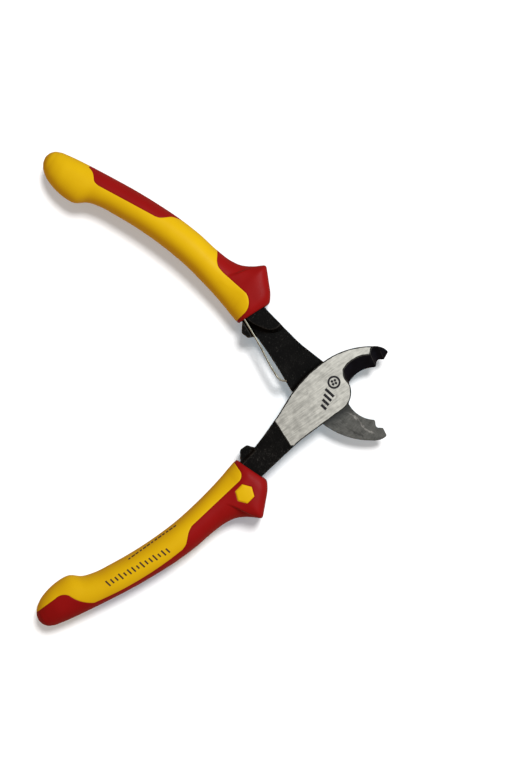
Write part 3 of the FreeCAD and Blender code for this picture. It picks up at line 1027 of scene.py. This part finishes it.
def slabs(shapes, low, high):
    """Thin closed slab over each flat shape."""
    points, faces = [], []
    for shape in shapes:
        first, count = len(points), len(shape)
        points += [(x, y, low) for x, y in shape] + [(x, y, high) for x, y in shape]
        faces.append([first + k for k in range(count)][::-1])
        faces.append([first + count + k for k in range(count)])
        for k in range(count):
            after = (k + 1) % count
            faces.append([first + k, first + after, first + count + after, first + count + k])
    return points, faces


def head_mark():
    """Generic cable pictogram on the head: a cable's end and a row of size bars."""
    low, high = PLATE - MARK_THICKNESS, PLATE + MARK_THICKNESS
    start, end = MARK_ENDS
    run = (end - start) / np.linalg.norm(end - start)
    turn = math.atan2(run[1], run[0])
    cable = start + run * 2.6
    outer, inner = (circle(cable, radius, 40) for radius in SHEATH_RADII)
    points, faces = ring_slab(outer, inner, low, high)
    shapes = [circle(core, CORE_RADIUS, 20) for core in circle(cable, 1.0, 4, turn)]
    for k in range(4):
        spot = start + run * (7.8 + 2.35 * k)
        shapes.append(bar(spot, 5.2 - 0.7 * k, 1.25, turn + math.pi / 2 - 0.35))
    more_points, more_faces = slabs(shapes, low, high)
    faces += [[v + len(points) for v in f] for f in more_faces]
    piece = place("front_head_mark", "front", points + more_points, faces, [HEAD_INK], smooth=False)
    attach(piece, "front")


def grip_marks(grip_points, grip_faces):
    """Two rows of plain printed bars on the palm of the front grip."""
    surface = BVHTree.FromPolygons(grip_points.tolist(), grip_faces.tolist())

    def level(x, y):
        hit = surface.ray_cast(Vector((x, y, 30.0)), Vector((0, 0, -1)))[0]
        return hit.z if hit else 0.0

    shapes = []
    for k in range(15):
        along_row = 2.2 * k
        tall = 2.6 + 0.7 * math.sin(2.4 * k)
        spot = (-98.6 - along_row, -17.6 + 0.115 * along_row)
        shapes.append(bar(spot, tall, 0.75, math.radians(101)))
    for k in range(13):
        wide = 1.5 + 0.4 * math.sin(1.9 * k)
        shapes.append(bar((-90.0 - 2.1 * k, -10.55), wide, 0.55, math.radians(1)))

    # each bar is a patch of points that follows the surface, over a copy sunk into it
    rows, columns = 3, 7
    patch = rows * columns
    points, faces = [], []
    for a, b, c, d in shapes:
        first = len(points)
        for across in np.linspace(0, 1, rows):
            for along in np.linspace(0, 1, columns):
                near, far = a + (b - a) * along, d + (c - d) * along
                spot = near + (far - near) * across
                points.append((*spot, level(*spot) + BAR_RISE))
        points += [(x, y, z - BAR_THICKNESS) for x, y, z in points[first:]]
        top = np.arange(patch).reshape(rows, columns) + first
        for r in range(rows - 1):
            for k in range(columns - 1):
                quad = [top[r, k], top[r, k + 1], top[r + 1, k + 1], top[r + 1, k]]
                faces += [quad, [v + patch for v in quad][::-1]]
        border = [*top[0], *top[1:, -1], *top[-1, -2::-1], *top[-2:0:-1, 0]]
        for p, q in zip(border, border[1:] + border[:1]):
            faces.append([q, p, p + patch, q + patch])
    piece = place("front_grip_marks", "front", points, faces, [GRIP_INK], smooth=False)
    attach(piece, "front")


# --- Studio ---

FLOOR_REACH = 12.0
BACKDROP_RADIUS = 11.0
ROOM_COLOUR = (1.0, 0.67, 0.48, 1)      # warm room against a cool key light
ROOM_STRENGTH = 0.43
KEY_COLOUR = (0.86, 1.0, 1.08)
KEY_TOWARDS = (0.53, 0.27, 0.81)
KEY_DISTANCE = 0.95
KEY_SIZE = 0.40
KEY_POWER = 7.7
LIT_CENTRE = Vector((-0.045, 0, 0.006))
SHADOW_TOWARDS = (0.17, 0.38, 0.90)     # the light that casts the tool's shadow on the floor
SHADOW_STRENGTH = 2.9
SHADOW_SPREAD = math.radians(17)
FILL_COLOUR = (0.38, 0.75, 0.97)        # evens out the colour of the floor's shadow
FILL_STRENGTH = 0.95
FILL_SPREAD = math.radians(10)
CAMERA_PLACE = (-0.03027, 0.00355, 0.98247)
CAMERA_TURN = math.radians(0.83)
LENS = 100
SENSOR_WIDTH = 36


def stage_piece(name, mesh, kind, inputs, unseen_by):
    """Floor or backdrop with one plain shader, which some kinds of ray don't see."""
    piece = bpy.data.objects.new(name, mesh)
    bpy.context.scene.collection.objects.link(piece)
    material, tree = new_material(name + "_white")
    shader = add(tree, kind, inputs)
    tree.links.new(shader.outputs[0], add(tree, "OutputMaterial").inputs[0])
    mesh.materials.append(material)
    for ray in unseen_by:
        setattr(piece, "visible_" + ray, False)
    return piece


def white_floor():
    """Floor under the tool, which doesn't light its sides from below."""
    reach, level = FLOOR_REACH, cad_box[0].z
    corners = [(x * reach, y * reach, level) for x, y in ((-1, -1), (1, -1), (1, 1), (-1, 1))]
    mesh = bpy.data.meshes.new("floor")
    mesh.from_pydata(corners, [], [(0, 1, 2, 3)])
    return stage_piece("floor", mesh, "BsdfDiffuse", {"Color": (0.9, 0.9, 0.9, 1)}, ("diffuse", "glossy"))


def backdrop():
    """White dome far round the floor. Only the camera sees it, so it lights nothing."""
    shape = bmesh.new()
    bmesh.ops.create_uvsphere(shape, u_segments=48, v_segments=24, radius=BACKDROP_RADIUS)
    mesh = bpy.data.meshes.new("backdrop")
    shape.to_mesh(mesh)
    shape.free()
    unseen_by = ("diffuse", "glossy", "transmission", "volume_scatter", "shadow")
    dome = stage_piece("backdrop", mesh, "Emission", {"Color": (1, 1, 1, 1), "Strength": 1.0}, unseen_by)
    dome.active_material.cycles.emission_sampling = "NONE"


def lamp(name, kind, towards, energy, colour=(1, 1, 1), **settings):
    """Light that shines from a direction. The settings go on its data."""
    data = bpy.data.lights.new(name, kind)
    for key, value in dict(settings, energy=energy, color=colour).items():
        setattr(data, key, value)
    light = bpy.data.objects.new(name, data)
    bpy.context.scene.collection.objects.link(light)
    light.rotation_euler = Vector(towards).to_track_quat("Z", "Y").to_euler()
    return light


def lights(floor):
    """A key light for all but the floor, and two suns for the floor alone."""
    key = lamp("key_light", "AREA", KEY_TOWARDS, KEY_POWER, KEY_COLOUR, shape="DISK", size=KEY_SIZE)
    key.location = LIT_CENTRE + Vector(KEY_TOWARDS).normalized() * KEY_DISTANCE
    key.visible_camera = False
    shadow = lamp("floor_light", "SUN", SHADOW_TOWARDS, SHADOW_STRENGTH, angle=SHADOW_SPREAD)
    fill = lamp("floor_fill", "SUN", (0, 0, 1), FILL_STRENGTH, FILL_COLOUR,
                angle=FILL_SPREAD, use_shadow=False)
    floor_only = bpy.data.collections.new("floor_only")
    floor_only.objects.link(floor)
    not_floor = bpy.data.collections.new("all_but_floor")
    not_floor.objects.link(floor)
    not_floor.collection_objects[0].light_linking.link_state = "EXCLUDE"
    for light, receivers in ((shadow, floor_only), (fill, floor_only), (key, not_floor)):
        light.light_linking.receiver_collection = receivers


def room():
    world = bpy.data.worlds.new("pale_room")
    world.use_nodes = True
    light = world.node_tree.nodes["Background"]
    light.inputs["Color"].default_value = ROOM_COLOUR
    light.inputs["Strength"].default_value = ROOM_STRENGTH
    bpy.context.scene.world = world


def camera():
    """Straight above the tool, turned a little."""
    data = bpy.data.cameras.new("camera")
    data.lens = LENS
    data.sensor_width = SENSOR_WIDTH
    made = bpy.data.objects.new("camera", data)
    made.location = CAMERA_PLACE
    made.rotation_euler = (0, 0, CAMERA_TURN)
    bpy.context.scene.collection.objects.link(made)
    bpy.context.scene.camera = made


blade("front", "front_blade_half")
blade("rear", "rear_blade_half")
front_grip = grip("front")
grip("rear")
leaf()
head_mark()
grip_marks(*front_grip)
for node, material in (
    ("pivot_rivet", RIVET),
    ("spring_anchor_pin", PIN),
    ("front_grip_inner_sleeve", SLEEVE),
    ("rear_grip_inner_sleeve", SLEEVE),
):
    mesh = frame["nodes"][node].data
    mesh.materials.clear()
    mesh.materials.append(material)
bpy.context.scene.view_settings.view_transform = "Standard"
lights(white_floor())
backdrop()
room()
camera()
